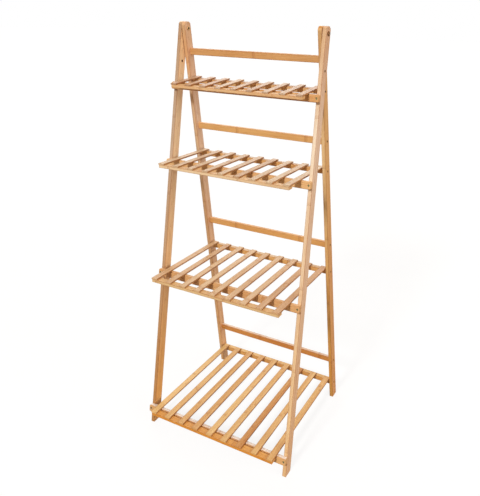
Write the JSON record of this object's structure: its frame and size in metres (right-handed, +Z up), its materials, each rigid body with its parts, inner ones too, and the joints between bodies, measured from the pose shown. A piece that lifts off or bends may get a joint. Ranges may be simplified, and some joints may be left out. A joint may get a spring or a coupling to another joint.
{
  "type": "folding ladder plant stand",
  "caption": "Folding wooden A-frame plant stand whose slatted shelves hinge on the rear legs and rest on the front crossbars.",
  "frame": {"origin": "on the floor, under the middle of the stand's outer box when it stands open", "axes": "+X across, to the right seen from the front; +Y from the front to the back; +Z up"},
  "size_m": [0.49, 0.42, 1.24],
  "materials": {
    "bamboo_leg": "satin varnish",
    "bamboo_bar": "satin varnish",
    "bamboo_slat": "satin varnish",
    "brass": "polished",
    "dark_steel": "blackened"
  },
  "bodies": {
    "rear_frame": {"rear_leg_left": "bamboo_leg", "rear_leg_right": "bamboo_leg", "back_bar_1": "bamboo_bar", "back_bar_2": "bamboo_bar", "back_bar_3": "bamboo_bar", "back_bar_4": "bamboo_bar", "rear_leg_screws": "bamboo_leg", "pivot_sleeves": "brass", "pivot_bolts": "brass"},
    "front_frame": {"front_leg_left": "bamboo_leg", "front_leg_right": "bamboo_leg", "crossbar_1": "bamboo_bar", "crossbar_2": "bamboo_bar", "crossbar_3": "bamboo_bar", "crossbar_4": "bamboo_bar", "crossbar_screws": "dark_steel"},
    "shelf_1": {"rear_rail_1": "bamboo_bar", "front_cleat_1": "bamboo_bar", "shelf_1_slat_1": "bamboo_slat", "shelf_1_slat_2": "bamboo_slat", "shelf_1_slat_3": "bamboo_slat", "shelf_1_slat_4": "bamboo_slat", "shelf_1_slat_5": "bamboo_slat", "shelf_1_slat_6": "bamboo_slat", "shelf_1_slat_7": "bamboo_slat", "shelf_1_slat_8": "bamboo_slat", "shelf_1_slat_9": "bamboo_slat"},
    "shelf_2": {"rear_rail_2": "bamboo_bar", "front_cleat_2": "bamboo_bar", "shelf_2_slat_1": "bamboo_slat", "shelf_2_slat_2": "bamboo_slat", "shelf_2_slat_3": "bamboo_slat", "shelf_2_slat_4": "bamboo_slat", "shelf_2_slat_5": "bamboo_slat", "shelf_2_slat_6": "bamboo_slat", "shelf_2_slat_7": "bamboo_slat", "shelf_2_slat_8": "bamboo_slat", "shelf_2_slat_9": "bamboo_slat"},
    "shelf_3": {"rear_rail_3": "bamboo_bar", "front_cleat_3": "bamboo_bar", "shelf_3_slat_1": "bamboo_slat", "shelf_3_slat_2": "bamboo_slat", "shelf_3_slat_3": "bamboo_slat", "shelf_3_slat_4": "bamboo_slat", "shelf_3_slat_5": "bamboo_slat", "shelf_3_slat_6": "bamboo_slat", "shelf_3_slat_7": "bamboo_slat", "shelf_3_slat_8": "bamboo_slat", "shelf_3_slat_9": "bamboo_slat"},
    "shelf_4": {"rear_rail_4": "bamboo_bar", "front_cleat_4": "bamboo_bar", "shelf_4_slat_1": "bamboo_slat", "shelf_4_slat_2": "bamboo_slat", "shelf_4_slat_3": "bamboo_slat", "shelf_4_slat_4": "bamboo_slat", "shelf_4_slat_5": "bamboo_slat", "shelf_4_slat_6": "bamboo_slat", "shelf_4_slat_7": "bamboo_slat", "shelf_4_slat_8": "bamboo_slat", "shelf_4_slat_9": "bamboo_slat"}
  },
  "joints": [
    {"name": "fold", "type": "hinge", "parent": "rear_frame", "child": "front_frame", "pos_m": [0, 0.014, 1.22], "axis": [1, 0, 0], "range_deg": [0, 16.6]},
    {"name": "shelf_1_lift", "type": "hinge", "parent": "rear_frame", "child": "shelf_1", "pos_m": [0, 0.03733, 1.0635], "axis": [-1, 0, 0], "range_deg": [0, 75]},
    {"name": "shelf_2_lift", "type": "hinge", "parent": "rear_frame", "child": "shelf_2", "pos_m": [0, 0.07258, 0.827], "axis": [-1, 0, 0], "range_deg": [0, 70]},
    {"name": "shelf_3_lift", "type": "hinge", "parent": "rear_frame", "child": "shelf_3", "pos_m": [0, 0.12296, 0.489], "axis": [-1, 0, 0], "range_deg": [0, 70]},
    {"name": "shelf_4_lift", "type": "hinge", "parent": "rear_frame", "child": "shelf_4", "pos_m": [0, 0.18772, 0.0545], "axis": [-1, 0, 0], "range_deg": [0, 70]}
  ]
}
